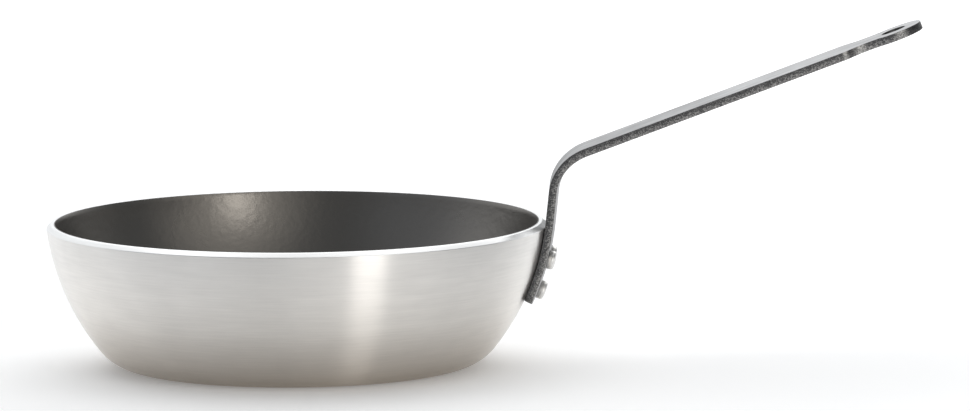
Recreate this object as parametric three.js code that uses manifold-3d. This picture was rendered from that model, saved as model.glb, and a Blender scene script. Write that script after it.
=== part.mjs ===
// Saute pan: a pressed aluminium body with a non-stick lining, a bent steel strip handle and
// three aluminium rivets. Millimetres, +Z up. The origin is the middle of the underside, and
// the handle points along +X.
import * as THREE from 'three';
import { mergeVertices } from 'three/addons/utils/BufferGeometryUtils.js';
import Module from 'manifold-3d';

// Pan body
const rimDiameter = 280;
const panHeight = 81;
const baseDiameter = 179;
const wallThickness = 4.6;
const baseThickness = 5;
const cornerRadius = 27.5;
const wallBowRadius = 137;
const rimChamfer = 2.4;

// Non-stick coating, drawn thicker than the sprayed film so that it is a sound solid
const coatingThickness = 0.4;
const coatingGap = 0.1;

// Handle strip
const stripWidth = 34.5;
const stripThickness = 4.6;
const footDrop = 44.2;
const footCornerRadius = 5;
const riserHeight = 17.6;
const bendRadius = 24.7;
const gripAngle = 20.25;
const gripLength = 199.9;

// Neck and hanging eye at the handle's end
const shoulderRadius = 8;
const neckWidth = 25;
const neckRadius = 20;
const eyeDiameter = 32;
const hangingHoleDiameter = 14;

// Rivets: two side by side near the rim and one below them
const shankDiameter = 4.8;
const outerHeadDiameter = 10.5;
const outerHeadHeight = 3.5;
const outerHeadEdgeRadius = 1.6;
const innerHeadDiameter = 13;
const innerHeadHeight = 2.2;
const innerHeadEdge = 0.6;
const upperRivetDrop = 19.5;
const lowerRivetDrop = 37;
const upperRivetSpacing = 22;

// Clearances between pieces that touch on the real pan
const seatGap = 0.3;
const shankClearance = 0.2;

// Fineness of the faceted solids: how far a facet's middle lies inside its true round, and steps
const turnFacetDepth = 0.168;
const rivetSegments = 24;
const cornerSteps = 5;
const wallFacetDepth = 0.105;
const headSteps = 4;
const footSteps = 7;
const riserSteps = 2;
const bendSteps = 10;
const stripWidthSteps = 6;
const outlineSteps = 24;

const wasm = await Module();
wasm.setup();

const rimRadius = rimDiameter / 2;
const stripHalfWidth = stripWidth / 2;

// Solids for adding and cutting. Corners closer than the weld distance are one corner.
const weldDistance = 1e-5;

function toSolid(geometry) {
  const bare = geometry.index ? geometry.toNonIndexed() : geometry.clone();
  bare.deleteAttribute('normal');
  bare.deleteAttribute('uv');
  const merged = mergeVertices(bare, weldDistance);
  return new wasm.Manifold(new wasm.Mesh({
    numProp: 3,
    vertProperties: new Float32Array(merged.attributes.position.array),
    triVerts: new Uint32Array(merged.index.array),
  }));
}

function toGeometry(solid) {
  const mesh = solid.getMesh();
  const geometry = new THREE.BufferGeometry();
  geometry.setAttribute('position', new THREE.BufferAttribute(mesh.vertProperties, 3));
  geometry.setIndex(new THREE.BufferAttribute(mesh.triVerts, 1));
  geometry.computeVertexNormals();
  return geometry;
}

function facetAngle(radius, depth) {
  return 2 * Math.acos(1 - depth / radius);
}

// A cut profile turned about the pan's upright axis
const turnSegments = Math.round(2 * Math.PI / facetAngle(rimRadius, turnFacetDepth));

function turned(profile) {
  return new THREE.LatheGeometry(profile, turnSegments).rotateX(Math.PI / 2);
}

function arcPoints(centre, radius, fromAngle, toAngle, steps) {
  const points = [];
  for (let step = 0; step <= steps; step += 1) {
    const angle = THREE.MathUtils.lerp(fromAngle, toAngle, step / steps);
    points.push(new THREE.Vector2(
      centre.x + radius * Math.cos(angle),
      centre.y + radius * Math.sin(angle),
    ));
  }
  return points;
}

// The wall bows out on one arc that is tangent to the heel and ends at the rim's outer edge.
function findWallCentre() {
  const heelCentre = new THREE.Vector2(baseDiameter / 2, cornerRadius);
  const rimEdge = new THREE.Vector2(rimRadius, panHeight - rimChamfer);
  const heelReach = wallBowRadius - cornerRadius;
  const span = rimEdge.clone().sub(heelCentre);
  const distance = span.length();
  const along = (heelReach ** 2 - wallBowRadius ** 2 + distance ** 2) / (2 * distance);
  const across = Math.sqrt(heelReach ** 2 - along ** 2);
  const direction = span.divideScalar(distance);
  return new THREE.Vector2(
    heelCentre.x + direction.x * along - direction.y * across,
    heelCentre.y + direction.y * along + direction.x * across,
  );
}

const wallCentre = findWallCentre();

// Angle on the wall's arc, seen from its centre, at a height and an inset from the outer face
function wallAngle(height, inset) {
  return Math.asin((height - wallCentre.y) / (wallBowRadius - inset));
}

// One skin of the bowl from the axis to the rim, inset from the outer face
function bowlSkin(inset, floorHeight, topHeight) {
  const heelRadius = cornerRadius - inset;
  const bowRadius = wallBowRadius - inset;
  const heelHeight = floorHeight + heelRadius;
  const heelOut = Math.sqrt((bowRadius - heelRadius) ** 2 - (heelHeight - wallCentre.y) ** 2);
  const heelCentre = new THREE.Vector2(wallCentre.x + heelOut, heelHeight);
  const joinAngle = Math.atan2(heelHeight - wallCentre.y, heelOut);
  const topAngle = wallAngle(topHeight, inset);
  const wallSteps = Math.round((topAngle - joinAngle) / facetAngle(bowRadius, wallFacetDepth));
  const heel = arcPoints(heelCentre, heelRadius, -Math.PI / 2, joinAngle, cornerSteps);
  const bow = arcPoints(wallCentre, bowRadius, joinAngle, topAngle, wallSteps);
  return [new THREE.Vector2(0, floorHeight), ...heel, ...bow.slice(1)];
}

// Pan body: outer skin, chamfered rim, inner skin
function makePanBody() {
  const outer = bowlSkin(0, 0, panHeight - rimChamfer);
  const inner = bowlSkin(wallThickness, baseThickness, panHeight);
  const landEdge = new THREE.Vector2(rimRadius - rimChamfer, panHeight);
  return turned([...outer, landEdge, ...inner.reverse()]);
}

// Coating: a thin skin over the inside, flush with the rim's bare land
const coatingOuterInset = wallThickness + coatingGap;
const coatingInnerInset = coatingOuterInset + coatingThickness;

function makeCoating() {
  const coatingFloor = baseThickness + coatingGap;
  const backing = bowlSkin(coatingOuterInset, coatingFloor, panHeight);
  const face = bowlSkin(coatingInnerInset, coatingFloor + coatingThickness, panHeight);
  return turned([...backing, ...face.reverse()]);
}

// The strip's line, seen from the side, along its wall-side face: the foot follows the wall,
// the riser runs on straight past the rim, then come the bend and the straight grip.
const footRadius = wallBowRadius + seatGap;
const footStartAngle = Math.asin((panHeight - footDrop - wallCentre.y) / footRadius);
const footEndAngle = Math.asin((panHeight - wallCentre.y) / footRadius);
const footLength = footRadius * (footEndAngle - footStartAngle);
const riserHeading = footEndAngle + Math.PI / 2;
const gripHeading = THREE.MathUtils.degToRad(gripAngle);
const riserLength = riserHeight / Math.sin(riserHeading);
const topBendRadius = bendRadius + stripThickness;
const bendTurn = riserHeading - gripHeading;
const bendLength = topBendRadius * bendTurn;
const bendStart = footLength + riserLength;
const gripStart = bendStart + bendLength;
const stripLength = gripStart + gripLength;

function stepAlong(point, heading, distance) {
  return new THREE.Vector2(
    point.x + Math.cos(heading) * distance,
    point.y + Math.sin(heading) * distance,
  );
}

function footPoint(angle) {
  return stepAlong(wallCentre, angle, footRadius);
}

const riserFoot = footPoint(footEndAngle);
const bendFoot = stepAlong(riserFoot, riserHeading, riserLength);
const bendCentre = stepAlong(bendFoot, riserHeading - Math.PI / 2, topBendRadius);
const gripFoot = stepAlong(bendCentre, gripHeading + Math.PI / 2, topBendRadius);

// Where the strip is and which way it runs, at a distance along it from the foot's end
function stripStation(distance) {
  if (distance <= footLength) {
    const angle = footStartAngle + distance / footRadius;
    return { point: footPoint(angle), heading: angle + Math.PI / 2 };
  }
  if (distance <= bendStart) {
    return { point: stepAlong(riserFoot, riserHeading, distance - footLength), heading: riserHeading };
  }
  if (distance <= gripStart) {
    const heading = riserHeading - (distance - bendStart) / topBendRadius;
    return { point: stepAlong(bendCentre, heading + Math.PI / 2, topBendRadius), heading };
  }
  return { point: stepAlong(gripFoot, gripHeading, distance - gripStart), heading: gripHeading };
}

// The foot and riser are pressed to the round of the wall, and the bend flattens the strip.
function crownDrop(distance, across) {
  const { point } = stripStation(Math.min(distance, bendStart));
  const roundOfWall = point.x - Math.sqrt(point.x ** 2 - across ** 2);
  return roundOfWall * (1 - THREE.MathUtils.smoothstep(distance, bendStart, gripStart));
}

function bentPoint(distance, across, depth) {
  const { point, heading } = stripStation(distance);
  const turn = Math.max(riserHeading - heading, 0);
  const drop = crownDrop(distance, across);
  const x = point.x + depth * Math.sin(heading) - drop * Math.cos(turn);
  const z = point.y - depth * Math.cos(heading) + drop * Math.sin(turn);
  return new THREE.Vector3(x, across, z);
}

function evenSteps(from, to, steps) {
  return Array.from({ length: steps }, (_, step) => THREE.MathUtils.lerp(from, to, step / steps));
}

// A flat bar bent along that line
function makeBentStrip() {
  const stations = [
    ...evenSteps(0, footLength, footSteps),
    ...evenSteps(footLength, bendStart, riserSteps),
    ...evenSteps(bendStart, gripStart, bendSteps),
    gripStart,
    stripLength,
  ];
  const lengthSteps = stations.length - 1;
  const bar = new THREE.BoxGeometry(
    lengthSteps, stripWidth, stripThickness, lengthSteps, stripWidthSteps, 1,
  );
  const corners = bar.attributes.position;
  for (let corner = 0; corner < corners.count; corner += 1) {
    const station = Math.round(corners.getX(corner) + lengthSteps / 2);
    const depth = stripThickness / 2 - corners.getZ(corner);
    const bent = bentPoint(stations[station], corners.getY(corner), depth);
    corners.setXYZ(corner, bent.x, bent.y, bent.z);
  }
  return toSolid(bar);
}

// A flat shape pushed through the strip, square to it, at a distance along the strip
const punchReach = 3 * stripThickness;

function punchThrough(shape, distance) {
  const { point, heading } = stripStation(distance);
  const along = new THREE.Vector3(Math.cos(heading), 0, Math.sin(heading));
  const acrossStrip = new THREE.Vector3(0, 1, 0);
  const up = along.clone().cross(acrossStrip);
  const place = new THREE.Matrix4().makeBasis(along, acrossStrip, up);
  place.setPosition(point.x, 0, point.y);
  const punch = new THREE.ExtrudeGeometry(shape, {
    depth: 2 * punchReach, bevelEnabled: false, curveSegments: outlineSteps,
  });
  return toSolid(punch.translate(0, 0, -punchReach).applyMatrix4(place));
}

// What is blanked off one side of the end: outside the shoulder, the neck and the round eye.
// The shape's zero is the strip's tip, and its X runs on along the strip.
const eyeRadius = eyeDiameter / 2;
const neckHalfWidth = neckWidth / 2;

function endScrap(side) {
  const eyeToNeck = Math.sqrt((eyeRadius + neckRadius) ** 2 - (neckHalfWidth + neckRadius) ** 2);
  const narrowing = stripHalfWidth - neckHalfWidth;
  const bothRadii = neckRadius + shoulderRadius;
  const neckToShoulder = Math.sqrt(bothRadii ** 2 - (bothRadii - narrowing) ** 2);
  const eyeCentre = new THREE.Vector2(-eyeRadius, 0);
  const neckCentre = new THREE.Vector2(eyeCentre.x - eyeToNeck, neckHalfWidth + neckRadius);
  const shoulderCentre = new THREE.Vector2(
    neckCentre.x - neckToShoulder, stripHalfWidth - shoulderRadius,
  );
  const eyeTurn = Math.atan2(neckCentre.y, -eyeToNeck);
  const shoulderTurn = Math.atan2(neckCentre.y - shoulderCentre.y, neckToShoulder);
  const outline = [
    ...arcPoints(eyeCentre, eyeRadius, 0, eyeTurn, outlineSteps),
    ...arcPoints(neckCentre, neckRadius, eyeTurn - Math.PI, shoulderTurn - Math.PI, outlineSteps / 2),
    ...arcPoints(shoulderCentre, shoulderRadius, shoulderTurn, Math.PI / 2, outlineSteps / 4),
    new THREE.Vector2(shoulderCentre.x, stripWidth),
    new THREE.Vector2(eyeRadius, stripWidth),
    new THREE.Vector2(eyeRadius, 0),
  ];
  const shape = new THREE.Shape(outline.map((point) => new THREE.Vector2(point.x, side * point.y)));
  return punchThrough(shape, stripLength);
}

// What is trimmed off one corner of the foot's end
function footCornerScrap(side) {
  const roundCentre = new THREE.Vector2(footCornerRadius, stripHalfWidth - footCornerRadius);
  const outline = [
    ...arcPoints(roundCentre, footCornerRadius, Math.PI, Math.PI / 2, outlineSteps / 4),
    new THREE.Vector2(footCornerRadius, stripWidth),
    new THREE.Vector2(-footCornerRadius, stripWidth),
    new THREE.Vector2(-footCornerRadius, roundCentre.y),
  ];
  const shape = new THREE.Shape(outline.map((point) => new THREE.Vector2(point.x, side * point.y)));
  return punchThrough(shape, 0);
}

function hangingHole() {
  const circle = new THREE.Shape().absarc(-eyeRadius, 0, hangingHoleDiameter / 2, 0, 2 * Math.PI);
  return punchThrough(circle, stripLength);
}

// Rivet places: a drop below the rim and a swing round the pan's axis. Each rivet stands square
// to the wall, with its own +Y pointing out and its zero on the wall's outer face.
function wallRadiusAt(drop) {
  const angle = wallAngle(panHeight - drop, 0);
  return wallCentre.x + wallBowRadius * Math.cos(angle);
}

const upperRivetSwing = Math.asin(upperRivetSpacing / 2 / wallRadiusAt(upperRivetDrop));
const rivetPlaces = [
  { name: 'rivet_upper_left', drop: upperRivetDrop, swing: upperRivetSwing },
  { name: 'rivet_upper_right', drop: upperRivetDrop, swing: -upperRivetSwing },
  { name: 'rivet_lower', drop: lowerRivetDrop, swing: 0 },
];

function placeOnWall(object, { drop, swing }) {
  const height = panHeight - drop;
  const lean = -wallAngle(height, 0);
  object.rotation.set(0, 0, swing - Math.PI / 2, 'ZXY');
  object.rotateX(-lean);
  const radius = wallRadiusAt(drop);
  object.position.set(radius * Math.cos(swing), radius * Math.sin(swing), height);
  object.updateMatrixWorld();
  return object;
}

// The outer head seats on the strip. The inner head is flat and the inside of the wall hollow,
// so the rim of that head touches first and its middle stands off by the hollow's depth.
const outerSeat = seatGap + stripThickness + seatGap;
const hollowRadius = wallRadiusAt(lowerRivetDrop) - coatingInnerInset;
const hollowDepth = (innerHeadDiameter / 2) ** 2 / (2 * hollowRadius);
const innerSeat = -coatingInnerInset - hollowDepth - seatGap;

function makeRivet() {
  const shankRadius = shankDiameter / 2;
  const outerRadius = outerHeadDiameter / 2;
  const innerRadius = innerHeadDiameter / 2;
  const outerTop = outerSeat + outerHeadHeight;
  const edgeCentre = new THREE.Vector2(
    outerRadius - outerHeadEdgeRadius, outerTop - outerHeadEdgeRadius,
  );
  const domeRise = innerHeadHeight - innerHeadEdge;
  const domeRadius = (innerRadius ** 2 + domeRise ** 2) / (2 * domeRise);
  const domeCentre = new THREE.Vector2(0, innerSeat - innerHeadHeight + domeRadius);
  const domeAngle = Math.asin(innerRadius / domeRadius);
  const dome = arcPoints(domeCentre, domeRadius, -Math.PI / 2, domeAngle - Math.PI / 2, headSteps);
  const button = arcPoints(edgeCentre, outerHeadEdgeRadius, 0, Math.PI / 2, headSteps);
  dome[0].x = 0;
  return new THREE.LatheGeometry([
    ...dome,
    new THREE.Vector2(innerRadius, innerSeat),
    new THREE.Vector2(shankRadius, innerSeat),
    new THREE.Vector2(shankRadius, outerSeat),
    new THREE.Vector2(outerRadius, outerSeat),
    ...button,
    new THREE.Vector2(0, outerTop),
  ], rivetSegments);
}

// One drill for each rivet, long enough for the wall, the coating and the strip
function makeDrills() {
  const drillRadius = shankDiameter / 2 + shankClearance;
  const drillReach = 2 * (outerSeat - innerSeat);
  return rivetPlaces.map((place) => {
    const drill = new THREE.CylinderGeometry(drillRadius, drillRadius, drillReach, rivetSegments);
    const stand = placeOnWall(new THREE.Object3D(), place);
    return toSolid(drill.applyMatrix4(stand.matrixWorld));
  });
}

const drills = makeDrills();

function drilled(solid) {
  return drills.reduce((left, drill) => left.subtract(drill), solid);
}

function makeHandle() {
  const scraps = [1, -1].flatMap((side) => [endScrap(side), footCornerScrap(side)]);
  const blanked = scraps.reduce((left, scrap) => left.subtract(scrap), makeBentStrip());
  return drilled(blanked.subtract(hangingHole()));
}

// Finishes
const turnedAluminium = new THREE.MeshStandardMaterial({
  name: 'turned_aluminium', color: 0xc9cac9, roughness: 0.35, metalness: 1,
});
const nonstickGrey = new THREE.MeshStandardMaterial({
  name: 'nonstick_grey', color: 0x434344, roughness: 0.42, metalness: 0.1,
});
const stripSteel = new THREE.MeshStandardMaterial({
  name: 'strip_steel', color: 0x8f9092, roughness: 0.4, metalness: 1,
});
const rivetAluminium = new THREE.MeshStandardMaterial({
  name: 'rivet_aluminium', color: 0xbfbdb6, roughness: 0.45, metalness: 1,
});

// Assembly
function addPiece(assembly, name, geometry, material) {
  const piece = new THREE.Mesh(geometry, material);
  piece.name = name;
  assembly.add(piece);
  return piece;
}

const pan = new THREE.Group();
addPiece(pan, 'pan_body', toGeometry(drilled(toSolid(makePanBody()))), turnedAluminium);
addPiece(pan, 'nonstick_coating', toGeometry(drilled(toSolid(makeCoating()))), nonstickGrey);
addPiece(pan, 'handle', toGeometry(makeHandle()), stripSteel);
for (const place of rivetPlaces) {
  placeOnWall(addPiece(pan, place.name, makeRivet(), rivetAluminium), place);
}

export default pan;
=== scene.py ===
"""Saute pan: the visible model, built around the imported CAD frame. Metres, +Z up.

The origin is the middle of the pan's underside, and the handle points along +X.
"""
import math

import bmesh
import bpy
from mathutils import Matrix, Vector


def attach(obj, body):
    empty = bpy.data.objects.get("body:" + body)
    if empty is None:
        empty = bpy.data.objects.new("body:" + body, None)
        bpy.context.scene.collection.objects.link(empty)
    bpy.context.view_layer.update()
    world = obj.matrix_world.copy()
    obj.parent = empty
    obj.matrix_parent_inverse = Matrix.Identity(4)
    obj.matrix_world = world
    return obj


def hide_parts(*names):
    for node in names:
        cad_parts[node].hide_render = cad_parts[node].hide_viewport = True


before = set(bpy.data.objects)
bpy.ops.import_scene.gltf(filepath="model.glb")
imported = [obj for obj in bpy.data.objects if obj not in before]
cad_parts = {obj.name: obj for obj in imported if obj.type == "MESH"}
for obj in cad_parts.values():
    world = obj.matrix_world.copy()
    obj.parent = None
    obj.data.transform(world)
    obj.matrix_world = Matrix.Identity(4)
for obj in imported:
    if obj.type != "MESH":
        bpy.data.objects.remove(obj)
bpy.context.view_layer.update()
bpy.context.scene.view_settings.view_transform = "Standard"

# Pan body
# A bowl pressed from thick aluminium plate, with a flat base and a wall that bows out on one long arc.
# The outside is turned on a lathe, which leaves fine rings, and the bare rim is machined and chamfered.
rim_radius = 0.140
pan_height = 0.081
base_radius = 0.0895
wall_thickness = 0.0046
base_thickness = 0.005
heel_radius = 0.0275
bow_radius = 0.137
rim_chamfer = 0.0024
rim_edge_round = 0.00025
rim_edge_steps = 3
rim_edge_sharpness = math.radians(25)
rim_face_slope = 0.2
upper_rivet_drop = 0.0195
lower_rivet_drop = 0.037
upper_rivet_spacing = 0.022
rivet_hole_radius = 0.0026
rivet_drill_length = 0.03
shortest_edge = 0.00002
rivet_steps = 48
heel_steps = 18
bow_steps = 28
turn_steps = 240
weld_distance = 1e-6
rise_share = 0.5


def find_bow_centre():
    """Centre of the wall's arc, which is tangent to the heel and ends at the rim's outer edge."""
    heel = Vector((base_radius, 0, heel_radius))
    rim_edge = Vector((rim_radius, 0, pan_height - rim_chamfer))
    span = rim_edge - heel
    reach = bow_radius - heel_radius
    along = (reach ** 2 - bow_radius ** 2 + span.length_squared) / (2 * span.length)
    across = math.sqrt(reach ** 2 - along ** 2)
    square_to_span = Vector((-span.z, 0, span.x)).normalized()
    return heel + span.normalized() * along + square_to_span * across


bow_centre = find_bow_centre()


def line_to(profile, vertex, out, height):
    """Draws a profile on from a vertex, straight to a point."""
    end = bmesh.ops.extrude_vert_indiv(profile, verts=[vertex])["verts"][0]
    end.co = out, 0, height
    return end


def arc_by(profile, vertex, centre, angle, steps):
    """Draws a profile on from a vertex, round a centre. A positive angle turns from +X towards +Z."""
    swept = bmesh.ops.spin(
        profile, geom=[vertex], cent=centre, axis=(0, -1, 0), angle=angle, steps=steps
    )
    return next(part for part in swept["geom_last"] if isinstance(part, bmesh.types.BMVert))


def bowl_skin(inset, floor, top):
    """Heel centre, and the angles where the bow leaves the heel and where it reaches the top."""
    heel = heel_radius - inset
    bow = bow_radius - inset
    drop = floor + heel - bow_centre.z
    out = math.sqrt((bow - heel) ** 2 - drop ** 2)
    heel_centre = Vector((bow_centre.x + out, 0, floor + heel))
    return heel_centre, math.atan2(drop, out), math.asin((top - bow_centre.z) / bow)


def draw_skin_up(profile, vertex, inset, floor, top):
    """One skin of the bowl, from the axis to the rim."""
    heel_centre, join, rise = bowl_skin(inset, floor, top)
    vertex = line_to(profile, vertex, heel_centre.x, floor)
    vertex = arc_by(profile, vertex, heel_centre, join + math.pi / 2, heel_steps)
    return arc_by(profile, vertex, bow_centre, rise - join, bow_steps)


def draw_skin_down(profile, vertex, inset, floor, top):
    """One skin of the bowl, from its top edge down to the axis."""
    heel_centre, join, rise = bowl_skin(inset, floor, top)
    vertex = line_to(
        profile, vertex, bow_centre.x + (bow_radius - inset) * math.cos(rise), top
    )
    vertex = arc_by(profile, vertex, bow_centre, join - rise, bow_steps)
    vertex = arc_by(profile, vertex, heel_centre, -join - math.pi / 2, heel_steps)
    return line_to(profile, vertex, 0, floor)


def turn_on_lathe(profile, steps):
    """Turns a profile once round the upright axis and closes it, with its faces outwards."""
    bmesh.ops.spin(
        profile, geom=profile.verts[:] + profile.edges[:], cent=(0, 0, 0), axis=(0, 0, 1),
        angle=math.tau, steps=steps, use_merge=True,
    )
    bmesh.ops.remove_doubles(profile, verts=profile.verts[:], dist=weld_distance)
    bmesh.ops.recalc_face_normals(profile, faces=profile.faces[:])


def round_edges(shape, sharper_than, radius, steps):
    """Rounds the edges of a shape where its faces meet at more than an angle."""
    sharp = [edge for edge in shape.edges if edge.calc_face_angle(0) > sharper_than]
    bmesh.ops.bevel(
        shape, geom=sharp, offset=radius, segments=steps, profile=0.5, affect="EDGES", material=-1
    )


def map_turns(shape):
    """A UV map for a turned piece: along its profile one way and once round it the other."""
    layer = shape.loops.layers.uv.new("turns")
    for face in shape.faces:
        middle = face.calc_center_median()
        facing = math.atan2(middle.y, middle.x)
        for corner in face.loops:
            at = corner.vert.co
            out = math.hypot(at.x, at.y)
            swing = 0
            if out > weld_distance:
                swing = math.remainder(math.atan2(at.y, at.x) - facing, math.tau)
            corner[layer].uv = out + at.z * rise_share, (facing + swing) / math.tau


def wall_out(height):
    """How far out the wall's outer face is at a height, and its angle there."""
    angle = math.asin((height - bow_centre.z) / bow_radius)
    return bow_centre.x + bow_radius * math.cos(angle), angle


def stand_on_wall(drop, swing):
    """The place of a rivet: zero is on the wall's outer face, and the head points out, square to it."""
    height = pan_height - drop
    out, angle = wall_out(height)
    square_to_wall = Vector((
        math.cos(angle) * math.cos(swing), math.cos(angle) * math.sin(swing), math.sin(angle)
    ))
    seat = Vector((out * math.cos(swing), out * math.sin(swing), height))
    return Matrix.Translation(seat) @ square_to_wall.to_track_quat("Z", "Y").to_matrix().to_4x4()


upper_rivet_swing = math.asin(upper_rivet_spacing / 2 / wall_out(pan_height - upper_rivet_drop)[0])
rivet_stands = {
    "rivet_upper_left": stand_on_wall(upper_rivet_drop, upper_rivet_swing),
    "rivet_upper_right": stand_on_wall(upper_rivet_drop, -upper_rivet_swing),
    "rivet_lower": stand_on_wall(lower_rivet_drop, 0),
}


def drill_rivet_holes(piece):
    """Drills the three rivet holes through a piece, square to the wall, and cleans up the cut."""
    drill = bmesh.new()
    for stand in rivet_stands.values():
        bmesh.ops.create_cone(
            drill, cap_ends=True, segments=rivet_steps, radius1=rivet_hole_radius,
            radius2=rivet_hole_radius, depth=rivet_drill_length, matrix=stand,
        )
    drill_mesh = bpy.data.meshes.new("rivet_drill")
    drill.to_mesh(drill_mesh)
    drill.free()
    drill_bit = bpy.data.objects.new("rivet_drill", drill_mesh)
    bpy.context.scene.collection.objects.link(drill_bit)
    holes = piece.modifiers.new("rivet_holes", "BOOLEAN")
    holes.operation = "DIFFERENCE"
    holes.solver = "EXACT"
    holes.object = drill_bit
    solid_mesh = piece.data
    seen = piece.evaluated_get(bpy.context.evaluated_depsgraph_get())
    piece.data = bpy.data.meshes.new_from_object(seen)
    piece.modifiers.remove(holes)
    bpy.data.meshes.remove(solid_mesh)
    bpy.data.objects.remove(drill_bit)
    bpy.data.meshes.remove(drill_mesh)
    piece.data.name = piece.name
    drilled = bmesh.new()
    drilled.from_mesh(piece.data)
    bmesh.ops.remove_doubles(drilled, verts=drilled.verts[:], dist=shortest_edge)
    bmesh.ops.dissolve_degenerate(drilled, dist=shortest_edge, edges=drilled.edges[:])
    many_sided = [face for face in drilled.faces if len(face.verts) > 4]
    bmesh.ops.triangulate(drilled, faces=many_sided, quad_method="BEAUTY", ngon_method="BEAUTY")
    drilled.to_mesh(piece.data)
    drilled.free()


def add_piece(shape, name, slot, node, *finishes, drilled=True):
    """Puts a shape on the pan in place of its CAD node, with its finishes and, if drilled, rivet holes."""
    for face in shape.faces:
        face.smooth = True
    mesh = bpy.data.meshes.new(name)
    shape.to_mesh(mesh)
    shape.free()
    for finish in finishes:
        mesh.materials.append(finish)
    piece = bpy.data.objects.new(name, mesh)
    bpy.context.scene.collection.objects.link(piece)
    if drilled:
        drill_rivet_holes(piece)
    piece.modifiers.new("flat_faces_stay_flat", "WEIGHTED_NORMAL")
    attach(piece, "root")
    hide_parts(node)


def new_finish(name):
    """A new material. Returns it, its node tree and its shader."""
    finish = bpy.data.materials.new(name)
    finish.use_nodes = True
    tree = finish.node_tree
    return finish, tree, tree.nodes["Principled BSDF"]


def add_node(tree, kind, feeds=None, **choices):
    """Adds a node. Choices are its options, and feeds are its inputs: values or other nodes' outputs."""
    made = tree.nodes.new(kind)
    for name, value in choices.items():
        setattr(made, name, value)
    for name, value in (feeds or {}).items():
        if isinstance(value, bpy.types.NodeSocket):
            tree.links.new(value, made.inputs[name])
        else:
            made.inputs[name].default_value = value
    return made


def ramp(tree, factor, *stops):
    """A colour ramp over a factor. Each stop is a position and a grey or a colour."""
    node = add_node(tree, "ShaderNodeValToRGB", {"Fac": factor})
    elements = node.color_ramp.elements
    while len(elements) < len(stops):
        elements.new(1)
    for element, (position, colour) in zip(elements, stops):
        element.position = position
        element.color = (*colour, 1) if isinstance(colour, tuple) else (colour, colour, colour, 1)
    return node.outputs["Color"]


def spread(tree, factor, low, high):
    """A factor from 0 to 1 spread over a range."""
    node = add_node(tree, "ShaderNodeMapRange", {"Value": factor, "To Min": low, "To Max": high})
    return node.outputs["Result"]


def turned_rings(tree, streak_turns, ring_pitch, detail):
    """Noise in long streaks round the upright axis, with their pitch measured along the profile."""
    place = add_node(tree, "ShaderNodeTexCoord").outputs["Object"]
    height = add_node(tree, "ShaderNodeSeparateXYZ", {0: place}).outputs["Z"]
    flat = add_node(tree, "ShaderNodeVectorMath", {0: place, 1: (1, 1, 0)}, operation="MULTIPLY")
    out = add_node(tree, "ShaderNodeVectorMath", {0: flat.outputs[0]}, operation="LENGTH")
    facing = add_node(tree, "ShaderNodeVectorMath", {0: flat.outputs[0]}, operation="NORMALIZE")
    along = add_node(
        tree, "ShaderNodeMath", {0: height, 1: rise_share, 2: out.outputs["Value"]},
        operation="MULTIPLY_ADD",
    )
    rings = add_node(tree, "ShaderNodeMath", {0: along.outputs[0], 1: 1 / ring_pitch}, operation="MULTIPLY")
    lift = add_node(tree, "ShaderNodeCombineXYZ", {"Z": rings.outputs[0]})
    swing = (streak_turns, streak_turns, streak_turns)
    streaks = add_node(
        tree, "ShaderNodeVectorMath", {0: facing.outputs[0], 1: swing, 2: lift.outputs[0]},
        operation="MULTIPLY_ADD",
    )
    noise = add_node(
        tree, "ShaderNodeTexNoise",
        {"Vector": streaks.outputs[0], "Scale": 1, "Detail": detail, "Roughness": 0.6},
    )
    return noise.outputs["Fac"]


def across_rings(tree):
    """The direction across a turned piece's rings, in which they smear a highlight out."""
    return add_node(tree, "ShaderNodeTangent", direction_type="UV_MAP", uv_map="turns").outputs[0]


def multiply(tree, first, second):
    """One colour multiplied by another."""
    node = add_node(
        tree, "ShaderNodeMix", {"Factor": 1, 6: first, 7: second}, data_type="RGBA", blend_type="MULTIPLY"
    )
    return node.outputs[2]


turned_aluminium, tree, shader = new_finish("turned_aluminium")
fine_rings = turned_rings(tree, streak_turns=5, ring_pitch=0.0007, detail=3)
broad_rings = turned_rings(tree, streak_turns=3, ring_pitch=0.004, detail=3)
both_rings = add_node(
    tree, "ShaderNodeMix", {"Factor": 0.4, "A": fine_rings, "B": broad_rings}
).outputs["Result"]
place = add_node(tree, "ShaderNodeTexCoord").outputs["Object"]
height = add_node(tree, "ShaderNodeSeparateXYZ", {0: place}).outputs["Z"]
rise = add_node(
    tree, "ShaderNodeMapRange", {"Value": height, "From Max": pan_height}
).outputs["Result"]
# The wall's colour grows darker and warmer towards the heel: painted shade, standing for the shadowed table
# top that the lower wall mirrors.
wall_colour_with_painted_heel_shade = ramp(
    tree, rise, (0.0, (0.52, 0.47, 0.41)), (0.15, (0.645, 0.60, 0.545)), (0.45, (0.88, 0.85, 0.806)),
    (0.65, (0.915, 0.89, 0.853)), (1.0, (0.875, 0.86, 0.837)),
)
ring_shade = ramp(tree, both_rings, (0.3, 0.915), (0.7, 1.02))
clouds = add_node(
    tree, "ShaderNodeTexNoise", {"Vector": place, "Scale": 38, "Detail": 2, "Roughness": 0.5}
).outputs["Fac"]
cloud_shade = ramp(tree, clouds, (0.3, 0.965), (0.7, 1.01))
worked_shade = multiply(tree, ring_shade, cloud_shade)
tree.links.new(multiply(tree, wall_colour_with_painted_heel_shade, worked_shade), shader.inputs["Base Color"])
tree.links.new(spread(tree, fine_rings, 0.345, 0.395), shader.inputs["Roughness"])
shader.inputs["Metallic"].default_value = 1
shader.inputs["Anisotropic"].default_value = 1
tree.links.new(across_rings(tree), shader.inputs["Tangent"])
bump = add_node(tree, "ShaderNodeBump", {"Strength": 0.1, "Distance": 0.00003, "Height": fine_rings})
tree.links.new(bump.outputs[0], shader.inputs["Normal"])

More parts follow.
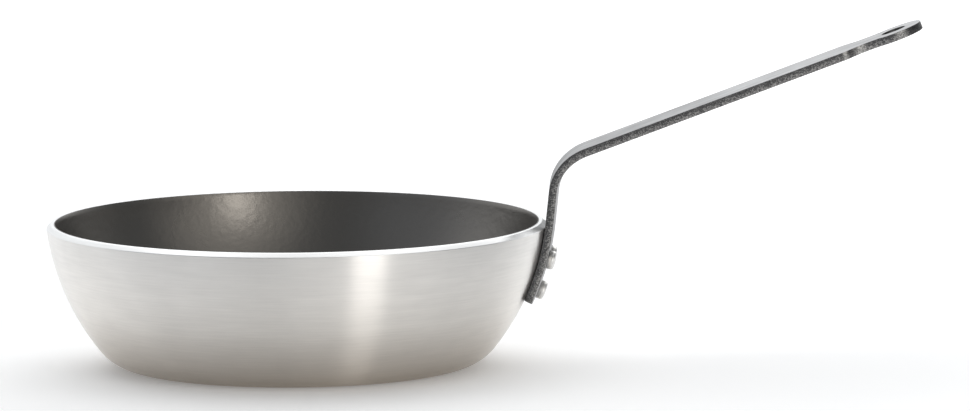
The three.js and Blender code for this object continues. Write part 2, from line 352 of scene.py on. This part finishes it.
bright_rim, tree, shader = new_finish("bright_rim")
rim_rings = turned_rings(tree, streak_turns=4, ring_pitch=0.0003, detail=2)
rim_shade = ramp(tree, rim_rings, (0.3, (0.86, 0.86, 0.855)), (0.7, (0.93, 0.93, 0.925)))
tree.links.new(rim_shade, shader.inputs["Base Color"])
tree.links.new(spread(tree, rim_rings, 0.24, 0.36), shader.inputs["Roughness"])
shader.inputs["Metallic"].default_value = 1
bump = add_node(tree, "ShaderNodeBump", {"Strength": 0.06, "Distance": 0.00002, "Height": rim_rings})
tree.links.new(bump.outputs[0], shader.inputs["Normal"])

body = bmesh.new()
end = draw_skin_up(body, body.verts.new((0, 0, 0)), 0, 0, pan_height - rim_chamfer)
end = line_to(body, end, rim_radius - rim_chamfer, pan_height)
draw_skin_down(body, end, wall_thickness, base_thickness, pan_height)
turn_on_lathe(body, turn_steps)
round_edges(body, rim_edge_sharpness, rim_edge_round, rim_edge_steps)
rim_floor = pan_height - rim_chamfer - rim_edge_round
for face in body.faces:
    middle = face.calc_center_median()
    face.material_index = int(middle.z > rim_floor and face.normal.z > rim_face_slope)
map_turns(body)
add_piece(body, "pan_body_turned", "pan_aluminium", "pan_body", turned_aluminium, bright_rim)

# Non-stick coating
# A satin dark grey film, sprayed on the inside and baked. It covers the floor and the wall and ends at
# the inner edge of the bare rim.
film_thickness = 0.0004

nonstick_film, tree, shader = new_finish("nonstick_film")
place = add_node(tree, "ShaderNodeTexCoord").outputs["Object"]
orange_peel = add_node(
    tree, "ShaderNodeTexNoise", {"Vector": place, "Scale": 900, "Detail": 2, "Roughness": 0.5}
).outputs["Fac"]
clouds = add_node(
    tree, "ShaderNodeTexNoise", {"Vector": place, "Scale": 30, "Detail": 3, "Roughness": 0.5}
).outputs["Fac"]
film_shade = ramp(tree, orange_peel, (0.3, (0.014, 0.014, 0.015)), (0.7, (0.022, 0.022, 0.023)))
tree.links.new(film_shade, shader.inputs["Base Color"])
tree.links.new(spread(tree, clouds, 0.25, 0.32), shader.inputs["Roughness"])
shader.inputs["Specular IOR Level"].default_value = 1
shader.inputs["IOR"].default_value = 2
shader.inputs["Specular Tint"].default_value = (1.0, 0.943, 0.867, 1)
ripple = add_node(
    tree, "ShaderNodeTexNoise", {"Vector": place, "Scale": 240, "Detail": 3, "Roughness": 0.55}
).outputs["Fac"]
ripple_bump = add_node(tree, "ShaderNodeBump", {"Strength": 0.4, "Distance": 0.0003, "Height": ripple})
peel_bump = add_node(
    tree, "ShaderNodeBump",
    {"Strength": 0.1, "Distance": 0.00003, "Height": orange_peel, "Normal": ripple_bump.outputs[0]},
)
tree.links.new(peel_bump.outputs[0], shader.inputs["Normal"])

film = bmesh.new()
film_floor = base_thickness + film_thickness
start = film.verts.new((0, 0, base_thickness))
end = draw_skin_up(film, start, wall_thickness, base_thickness, pan_height)
draw_skin_down(film, end, wall_thickness + film_thickness, film_floor, pan_height)
turn_on_lathe(film, turn_steps)
map_turns(film)
add_piece(film, "nonstick_film", "nonstick_coating", "nonstick_coating", nonstick_film)

# Handle
# One flat steel bar, blanked with a neck, an eye and a hanging hole, which leaves coarse sheared edges.
# Its foot is pressed to the wall's round, a riser passes the rim, and a bend lays the grip out.
strip_width = 0.0345
strip_thickness = 0.0046
strip_edge_round = 0.00035
strip_edge_steps = 3
strip_edge_sharpness = math.radians(60)
sheared_face_slope = 0.5
flat_face_slope = 0.1
seat_gap = 0.0003
foot_drop = 0.0442
foot_corner_radius = 0.005
riser_height = 0.0176
bend_radius = 0.0247
grip_heading = math.radians(20.25)
grip_length = 0.1999
shoulder_radius = 0.008
neck_width = 0.025
neck_radius = 0.020
eye_radius = 0.016
hanging_hole_radius = 0.007
corner_steps = 8
foot_steps = 20
riser_steps = 8
bend_steps = 36
grip_steps = 30
shoulder_steps = 8
neck_steps = 24
eye_steps = 44
columns = 16

foot_radius = bow_radius + seat_gap
foot_start_angle = math.asin((pan_height - foot_drop - bow_centre.z) / foot_radius)
foot_end_angle = math.asin((pan_height - bow_centre.z) / foot_radius)
foot_length = foot_radius * (foot_end_angle - foot_start_angle)
riser_heading = foot_end_angle + math.pi / 2
riser_length = riser_height / math.sin(riser_heading)
top_bend_radius = bend_radius + strip_thickness
bend_start = foot_length + riser_length
grip_start = bend_start + top_bend_radius * (riser_heading - grip_heading)
strip_length = grip_start + grip_length


def ahead(point, heading, distance):
    """A point further on, in the upright plane through the handle."""
    return point + distance * Vector((math.cos(heading), 0, math.sin(heading)))


riser_foot = ahead(bow_centre, foot_end_angle, foot_radius)
bend_foot = ahead(riser_foot, riser_heading, riser_length)
bend_centre = ahead(bend_foot, riser_heading - math.pi / 2, top_bend_radius)
grip_foot = ahead(bend_centre, grip_heading + math.pi / 2, top_bend_radius)


def strip_station(distance):
    """Where the strip's wall side is, and which way it runs, at a distance from the foot's end."""
    if distance <= foot_length:
        angle = foot_start_angle + distance / foot_radius
        return ahead(bow_centre, angle, foot_radius), angle + math.pi / 2
    if distance <= bend_start:
        return ahead(riser_foot, riser_heading, distance - foot_length), riser_heading
    if distance <= grip_start:
        heading = riser_heading - (distance - bend_start) / top_bend_radius
        return ahead(bend_centre, heading + math.pi / 2, top_bend_radius), heading
    return ahead(grip_foot, grip_heading, distance - grip_start), grip_heading


def bent_place(distance, across, depth):
    """Where a point of the blank goes. Foot and riser take the wall's round, and the bend loses it."""
    point, heading = strip_station(distance)
    turn = max(riser_heading - heading, 0)
    out = strip_station(min(distance, bend_start))[0].x
    share = min(max((distance - bend_start) / (grip_start - bend_start), 0), 1)
    fade = 1 - share * share * (3 - 2 * share)
    drop = (out - math.sqrt(out ** 2 - across ** 2)) * fade
    return Vector((
        point.x + depth * math.sin(heading) - drop * math.cos(turn),
        across,
        point.z - depth * math.cos(heading) + drop * math.sin(turn),
    ))


half_width = strip_width / 2
half_neck = neck_width / 2
neck_axis = half_neck + neck_radius
shoulder_axis = half_width - shoulder_radius
both_radii = neck_radius + shoulder_radius
eye_at = strip_length - eye_radius
neck_at = eye_at - math.sqrt((eye_radius + neck_radius) ** 2 - neck_axis ** 2)
shoulder_at = neck_at - math.sqrt(both_radii ** 2 - (neck_axis - shoulder_axis) ** 2)
shoulder_end = shoulder_at + (neck_at - shoulder_at) * shoulder_radius / both_radii
eye_turn = math.atan2(neck_axis, neck_at - eye_at)
eye_back = math.pi - eye_turn
neck_end = eye_at + eye_radius * math.cos(eye_turn)
eye_centre = Vector((eye_at, 0, 0))


def blank_half_width(distance):
    """Half the blank's width at a distance from the foot's end, up to where the neck meets the eye."""
    if distance < foot_corner_radius:
        lead = foot_corner_radius - distance
        return half_width - foot_corner_radius + math.sqrt(foot_corner_radius ** 2 - lead ** 2)
    if distance <= shoulder_at:
        return half_width
    if distance <= shoulder_end:
        return shoulder_axis + math.sqrt(shoulder_radius ** 2 - (distance - shoulder_at) ** 2)
    return neck_axis - math.sqrt(neck_radius ** 2 - (distance - neck_at) ** 2)


def facing_tip(place, facing):
    """How far the outline faces the tip: 0 is sideways, 1 is straight at it, and the hole is 0."""
    beside_hole = (place - eye_centre).length < (hanging_hole_radius + eye_radius) / 2
    if beside_hole or facing.xy.length < flat_face_slope:
        return 0
    return facing.x / facing.xy.length


def even_steps(start, end, steps):
    """Distances from a start up to, but not at, an end."""
    return [start + (end - start) * step / steps for step in range(steps)]


corner_turns = even_steps(0, math.pi / 2, corner_steps)
rows = [foot_corner_radius * (1 - math.cos(turn)) for turn in corner_turns]
rows += even_steps(foot_corner_radius, foot_length, foot_steps)
rows += even_steps(foot_length, bend_start, riser_steps)
rows += even_steps(bend_start, grip_start, bend_steps)
rows += even_steps(grip_start, shoulder_at, grip_steps)
rows += even_steps(shoulder_at, shoulder_end, shoulder_steps)
rows += even_steps(shoulder_end, neck_end, neck_steps)
rows += [neck_end]

blank = bmesh.new()
grid = bmesh.ops.create_grid(blank, x_segments=len(rows) - 1, y_segments=columns, size=0.5)
for vertex in grid["verts"]:
    distance = rows[round((vertex.co.x + 0.5) * (len(rows) - 1))]
    side = 2 * vertex.co.y
    near_eye = min(max((distance - shoulder_at) / (neck_end - shoulder_at), 0), 1)
    fanned = math.sin(side * eye_back) / math.sin(eye_back)
    across = blank_half_width(distance) * (side + (fanned - side) * near_eye)
    pull = near_eye * eye_radius * (math.cos(side * eye_back) - math.cos(eye_back))
    vertex.co = distance - pull, across, 0

spoke = Vector((math.cos(eye_turn), math.sin(eye_turn), 0))
spoke_ends = [
    blank.verts.new(eye_centre + spoke * reach) for reach in (hanging_hole_radius, eye_radius)
]
sweep = [*spoke_ends, blank.edges.new(spoke_ends)]
for angle, steps in ((-2 * eye_turn, eye_steps), (-2 * eye_back, columns)):
    sweep = bmesh.ops.spin(
        blank, geom=sweep, cent=eye_centre, axis=(0, 0, 1), angle=angle, steps=steps
    )["geom_last"]
bmesh.ops.remove_doubles(blank, verts=blank.verts[:], dist=weld_distance)
bmesh.ops.recalc_face_normals(blank, faces=blank.faces[:])
bmesh.ops.solidify(blank, geom=blank.faces[:], thickness=strip_thickness)
top = max(vertex.co.z for vertex in blank.verts)
bmesh.ops.translate(blank, verts=blank.verts[:], vec=(0, 0, -top))
bmesh.ops.recalc_face_normals(blank, faces=blank.faces[:])
for face in blank.faces:
    face.material_index = int(abs(face.normal.z) < sheared_face_slope)
round_edges(blank, strip_edge_sharpness, strip_edge_round, strip_edge_steps)
blank_map = blank.loops.layers.uv.new("blank")
depth_layer = blank.verts.layers.float.new("depth")
facing_layer = blank.verts.layers.float.new("facing_tip")
blank.normal_update()
for face in blank.faces:
    for corner in face.loops:
        corner[blank_map].uv = corner.vert.co.xy
for vertex in blank.verts:
    vertex[depth_layer] = -vertex.co.z / strip_thickness
    vertex[facing_layer] = facing_tip(vertex.co, vertex.normal)
    vertex.co = bent_place(vertex.co.x, vertex.co.y, -vertex.co.z)

strip_steel, tree, shader = new_finish("strip_steel")
place = add_node(tree, "ShaderNodeTexCoord")
grain_stretch = add_node(
    tree, "ShaderNodeMapping", {"Vector": place.outputs["UV"], "Scale": (60, 1800, 1)}
).outputs[0]
grain = add_node(
    tree, "ShaderNodeTexNoise", {"Vector": grain_stretch, "Scale": 1, "Detail": 3, "Roughness": 0.6}
).outputs["Fac"]
mottle = add_node(
    tree, "ShaderNodeTexNoise",
    {"Vector": place.outputs["Object"], "Scale": 120, "Detail": 4, "Roughness": 0.6},
).outputs["Fac"]
streak_stretch = add_node(
    tree, "ShaderNodeMapping", {"Vector": place.outputs["UV"], "Scale": (18, 130, 1)}
).outputs[0]
streaks = add_node(
    tree, "ShaderNodeTexNoise", {"Vector": streak_stretch, "Scale": 1, "Detail": 3, "Roughness": 0.6}
).outputs["Fac"]
mottled_steel = ramp(tree, mottle, (0.35, (0.525, 0.525, 0.528)), (0.65, (0.60, 0.60, 0.603)))
grained_steel = multiply(tree, mottled_steel, ramp(tree, grain, (0.3, 0.86), (0.7, 1.0)))
streaked_steel = multiply(tree, grained_steel, ramp(tree, streaks, (0.32, 0.76), (0.6, 1.0)))
tree.links.new(streaked_steel, shader.inputs["Base Color"])
# The steel's tint at grazing angles is dull over the first half of the grip and bright towards the neck:
# painted shade on the near part of the grip's top face.
from_foot = add_node(tree, "ShaderNodeSeparateXYZ", {0: place.outputs["UV"]}).outputs["X"]
along_grip = add_node(
    tree, "ShaderNodeMapRange", {"Value": from_foot, "From Min": grip_start, "From Max": shoulder_at}
).outputs["Result"]
grazing_tint_with_painted_shade = ramp(tree, along_grip, (0.0, 0.70), (0.46, 0.71), (0.57, 0.93))
tree.links.new(grazing_tint_with_painted_shade, shader.inputs["Specular Tint"])
tree.links.new(spread(tree, grain, 0.34, 0.46), shader.inputs["Roughness"])
shader.inputs["Metallic"].default_value = 1
bump = add_node(tree, "ShaderNodeBump", {"Strength": 0.08, "Distance": 0.00003, "Height": grain})
tree.links.new(bump.outputs[0], shader.inputs["Normal"])

# Colours of the sheared edge's painted highlight and painted shade.
painted_highlight_steel = (0.55, 0.545, 0.53, 1)
painted_shade_steel = (0.05, 0.05, 0.052, 1)


def blend(tree, share, first, second):
    """One colour blended over to another by a share from 0 to 1."""
    node = add_node(tree, "ShaderNodeMix", {"Factor": share, 6: first, 7: second}, data_type="RGBA")
    return node.outputs[2]


sheared_edge, tree, shader = new_finish("sheared_edge")
place = add_node(tree, "ShaderNodeTexCoord").outputs["Object"]
depth = add_node(tree, "ShaderNodeAttribute", attribute_name="depth").outputs["Fac"]
ragged = add_node(
    tree, "ShaderNodeTexNoise", {"Vector": place, "Scale": 350, "Detail": 4, "Roughness": 0.6}
).outputs["Fac"]
grit = add_node(tree, "ShaderNodeTexVoronoi", {"Vector": place, "Scale": 2000}).outputs["Color"]
# The edge is near black in the band beside the top face and grows lighter and speckled towards the
# underside. The light, speckled part is the torn steel; the near black band is painted reflection of the
# dim room it faces.
shifted = add_node(
    tree, "ShaderNodeMath", {0: ragged, 1: 0.3, 2: depth}, operation="MULTIPLY_ADD"
).outputs[0]
torn = add_node(
    tree, "ShaderNodeMapRange", {"Value": shifted, "From Min": 0.4, "From Max": 0.9}
).outputs["Result"]
grain = add_node(tree, "ShaderNodeSeparateColor", {0: grit}).outputs["Red"]
tone = add_node(tree, "ShaderNodeMix", {"Factor": 0.63, "A": torn, "B": grain}).outputs["Result"]
torn_steel_with_painted_dark_band = ramp(
    tree, tone, (0.05, (0.047, 0.047, 0.049)), (0.5, (0.102, 0.102, 0.104)),
    (0.95, (0.40, 0.395, 0.386)),
)
# Where the outline turns a little towards the tip, at the neck and the eye, the edge is painted bright and
# broken up by the grit: a painted highlight of the window.
facing = add_node(tree, "ShaderNodeAttribute", attribute_name="facing_tip").outputs["Fac"]
painted_highlight_share = ramp(tree, facing, (0.02, 0.0), (0.28, 1.0), (0.54, 0.0))
speckled_painted_highlight = multiply(tree, painted_highlight_share, ramp(tree, grain, (0.0, 0.2), (0.8, 0.95)))
edge_with_painted_highlight = blend(tree, speckled_painted_highlight, torn_steel_with_painted_dark_band, painted_highlight_steel)
# Where the outline faces the tip more, at the shoulder and round the end of the eye, the edge is painted
# near black: painted shade on the faces that mirror the dark side of the room.
painted_shade_share = ramp(tree, facing, (0.36, 0.0), (0.6, 0.7))
edge_steel = blend(tree, painted_shade_share, edge_with_painted_highlight, painted_shade_steel)
tree.links.new(edge_steel, shader.inputs["Base Color"])
tree.links.new(spread(tree, torn, 0.42, 0.6), shader.inputs["Roughness"])
shader.inputs["Metallic"].default_value = 0.9
bump = add_node(tree, "ShaderNodeBump", {"Strength": 0.5, "Distance": 0.0001, "Height": tone})
tree.links.new(bump.outputs[0], shader.inputs["Normal"])
add_piece(blank, "handle_strip", "handle_steel", "handle", strip_steel, sheared_edge)

# Rivets
# Three solid aluminium rivets, two side by side near the rim and one below. Each has a button head on
# the strip, a shank through strip and wall, and a low domed head inside, set by a press.
shank_radius = 0.0024
outer_head_radius = 0.00525
outer_head_height = 0.0035
outer_head_edge = 0.0016
outer_head_crown = 0.0003
inner_head_radius = 0.0065
inner_head_height = 0.0022
inner_head_edge = 0.0006
head_steps = 10
crown_steps = 8

outer_seat = seat_gap + strip_thickness
inner_seat = -wall_thickness - film_thickness - seat_gap
outer_head_top = outer_seat + seat_gap + outer_head_height

rivet_aluminium, tree, shader = new_finish("rivet_aluminium")
place = add_node(tree, "ShaderNodeTexCoord").outputs["Object"]
pressed = add_node(
    tree, "ShaderNodeTexNoise", {"Vector": place, "Scale": 420, "Detail": 4, "Roughness": 0.6}
).outputs["Fac"]
pressed_shade = ramp(tree, pressed, (0.35, (0.69, 0.68, 0.66)), (0.65, (0.82, 0.81, 0.785)))
tree.links.new(pressed_shade, shader.inputs["Base Color"])
tree.links.new(spread(tree, pressed, 0.30, 0.44), shader.inputs["Roughness"])
shader.inputs["Metallic"].default_value = 1
bump = add_node(tree, "ShaderNodeBump", {"Strength": 0.25, "Distance": 0.0001, "Height": pressed})
tree.links.new(bump.outputs[0], shader.inputs["Normal"])


def dome_arc(half_span, rise):
    """Radius of a dome, and its half angle, from how wide and how high it is."""
    radius = (half_span ** 2 + rise ** 2) / (2 * rise)
    return radius, math.asin(half_span / radius)


def make_rivet():
    """A rivet on the upright axis, with its zero on the wall's outer face and its button head up."""
    rivet = bmesh.new()
    low_radius, low_angle = dome_arc(inner_head_radius, inner_head_height - inner_head_edge)
    low_point = inner_seat - inner_head_height
    end = rivet.verts.new((0, 0, low_point))
    end = arc_by(rivet, end, (0, 0, low_point + low_radius), low_angle, head_steps)
    end = line_to(rivet, end, inner_head_radius, inner_seat)
    end = line_to(rivet, end, shank_radius, inner_seat)
    end = line_to(rivet, end, shank_radius, outer_seat)
    end = line_to(rivet, end, outer_head_radius, outer_seat)
    edge_height = outer_head_top - outer_head_edge
    end = line_to(rivet, end, outer_head_radius, edge_height)
    crown_span = outer_head_radius - outer_head_edge
    end = arc_by(rivet, end, (crown_span, 0, edge_height), math.pi / 2, head_steps)
    crown_radius, crown_angle = dome_arc(crown_span, outer_head_crown)
    crown_centre = outer_head_top + outer_head_crown - crown_radius
    end = arc_by(rivet, end, (0, 0, crown_centre), crown_angle, crown_steps)
    end.co.x = 0
    turn_on_lathe(rivet, rivet_steps)
    return rivet


for node, stand in rivet_stands.items():
    rivet = make_rivet()
    bmesh.ops.transform(rivet, matrix=stand, verts=rivet.verts[:])
    add_piece(rivet, node + "_set", "rivet_aluminium", node, rivet_aluminium, drilled=False)

# Floor
# A wide pale matt table top. Its slight glow, seen by the camera and in reflections, makes the
# background white and leaves the pan's shadow.
floor_half = 6
floor_clearance = 0.0003
# The glow is weaker near the pan than far off: painted shade round the pan, which the lower wall also
# mirrors.
glow_by_pan = 0.18
glow_far_off = 0.42
glow_starts = 0.35
glow_ends = 1.3
pale_table, tree, shader = new_finish("pale_table")
shader.inputs["Base Color"].default_value = (0.94, 0.94, 0.94, 1)
shader.inputs["Roughness"].default_value = 0.9
shader.inputs["Specular IOR Level"].default_value = 0.1
rays = add_node(tree, "ShaderNodeLightPath").outputs
seen = add_node(
    tree, "ShaderNodeMath", {0: rays["Is Camera Ray"], 1: rays["Is Glossy Ray"]}, operation="ADD"
).outputs[0]
seen = add_node(
    tree, "ShaderNodeMath", {0: seen, 1: rays["Is Transmission Ray"]}, operation="ADD"
).outputs[0]
place = add_node(tree, "ShaderNodeTexCoord").outputs["Object"]
away = add_node(tree, "ShaderNodeVectorMath", {0: place}, operation="LENGTH").outputs["Value"]
glow = add_node(
    tree, "ShaderNodeMapRange",
    {
        "Value": away, "From Min": glow_starts, "From Max": glow_ends, "To Min": glow_by_pan,
        "To Max": glow_far_off,
    },
).outputs["Result"]
glow = add_node(tree, "ShaderNodeMath", {0: seen, 1: glow}, operation="MULTIPLY").outputs[0]
tree.links.new(glow, shader.inputs["Emission Strength"])
shader.inputs["Emission Color"].default_value = (1, 1, 1, 1)

table = bmesh.new()
bmesh.ops.create_grid(table, x_segments=1, y_segments=1, size=floor_half)
bmesh.ops.translate(table, verts=table.verts[:], vec=(0, 0, -floor_clearance))
table_mesh = bpy.data.meshes.new("table_top")
table.to_mesh(table_mesh)
table.free()
table_mesh.materials.append(pale_table)
table_top = bpy.data.objects.new("table_top", table_mesh)
bpy.context.scene.collection.objects.link(table_top)

# Light
# A soft window to the right of the camera, a wide soft box overhead, and a room that is dim behind the
# camera and brighter behind the pan, at its left, high in the corner behind its right, and round the
# window.
room_light = (0.172, 0.18, 0.188)
back_glow = (0.745, 0.755, 0.765)
left_glow = (0.15, 0.162, 0.185)
corner_glow = (0.45, 0.45, 0.45)
window_glow = (0.5, 0.48, 0.45)


def add_soft_light(name, direction, distance, width, height, radiance, colour):
    """A rectangular soft light that faces the pan."""
    lamp = bpy.data.lights.new(name, "AREA")
    lamp.shape = "RECTANGLE"
    lamp.size = width
    lamp.size_y = height
    lamp.energy = radiance * math.pi * width * height
    lamp.color = colour
    holder = bpy.data.objects.new(name, lamp)
    bpy.context.scene.collection.objects.link(holder)
    holder.location = Vector((0, 0, pan_height / 2)) + direction.normalized() * distance
    holder.rotation_euler = direction.to_track_quat("Z", "Y").to_euler()
    holder.visible_camera = False


def direction_at(azimuth, elevation):
    """A direction from the pan: azimuth 0 is towards the camera, and positive is to its right."""
    swing = math.radians(azimuth)
    rise = math.radians(elevation)
    return Vector((
        math.sin(swing) * math.cos(rise), -math.cos(swing) * math.cos(rise), math.sin(rise)
    ))


add_soft_light(
    "window", direction_at(33, 9.5), distance=0.85, width=0.21, height=0.37, radiance=3.0,
    colour=(1.0, 0.97, 0.932),
)
add_soft_light(
    "overhead", direction_at(180, 68), distance=2.4, width=3.6, height=3.6, radiance=1.12,
    colour=(1.0, 1.0, 1.0),
)

room = bpy.data.worlds.new("room")
bpy.context.scene.world = room
room.use_nodes = True
tree = room.node_tree
facing = add_node(tree, "ShaderNodeTexCoord").outputs["Generated"]


def add_glow(so_far, direction, edge, core, colour):
    """Adds light from a part of the room to the light so far. Edge and core are angles from its middle."""
    towards = add_node(
        tree, "ShaderNodeVectorMath", {0: facing, 1: direction}, operation="DOT_PRODUCT"
    ).outputs["Value"]
    limits = {"From Min": math.cos(math.radians(edge)), "From Max": math.cos(math.radians(core))}
    share = add_node(
        tree, "ShaderNodeMapRange", {"Value": towards, **limits}, interpolation_type="SMOOTHSTEP"
    ).outputs["Result"]
    lit = add_node(tree, "ShaderNodeVectorMath", {0: colour, "Scale": share}, operation="SCALE")
    both = add_node(tree, "ShaderNodeVectorMath", {0: so_far, 1: lit.outputs[0]}, operation="ADD")
    return both.outputs[0]


light = add_glow(room_light, direction_at(-163, 0), edge=100, core=0, colour=back_glow)
light = add_glow(light, direction_at(-70, 8), edge=50, core=5, colour=left_glow)
light = add_glow(light, direction_at(150, 25), edge=32, core=6, colour=corner_glow)
light = add_glow(light, direction_at(36, 8), edge=48, core=8, colour=window_glow)
tree.links.new(light, tree.nodes["Background"].inputs["Color"])

# Camera
# A long lens a little above the rim and square to the handle, as the photograph was taken.
image_width = 970
focal_pixels = 11614.553
view_distance = 6.5
view_direction = direction_at(2.0, 7.307)
view_roll = math.radians(-0.571)
aim_right = 0.10549
aim_up = 0.00877
clip_distance = 100

camera_data = bpy.data.cameras.new("camera")
camera_data.sensor_fit = "HORIZONTAL"
camera_data.lens = camera_data.sensor_width * focal_pixels / image_width
camera_data.clip_end = clip_distance
camera = bpy.data.objects.new("camera", camera_data)
bpy.context.scene.collection.objects.link(camera)
bpy.context.scene.camera = camera

level_right = Vector((0, 0, 1)).cross(view_direction).normalized()
level_up = view_direction.cross(level_right)
right = level_right * math.cos(view_roll) + level_up * math.sin(view_roll)
up = level_up * math.cos(view_roll) - level_right * math.sin(view_roll)
rim_centre = Vector((0, 0, pan_height))
camera_place = rim_centre + view_direction * view_distance
backwards = (camera_place - rim_centre - right * aim_right - up * aim_up).normalized()
right = (right - backwards * right.dot(backwards)).normalized()
up = backwards.cross(right)
camera_turn = Matrix((right, up, backwards)).transposed().to_4x4()
camera.matrix_world = Matrix.Translation(camera_place) @ camera_turn
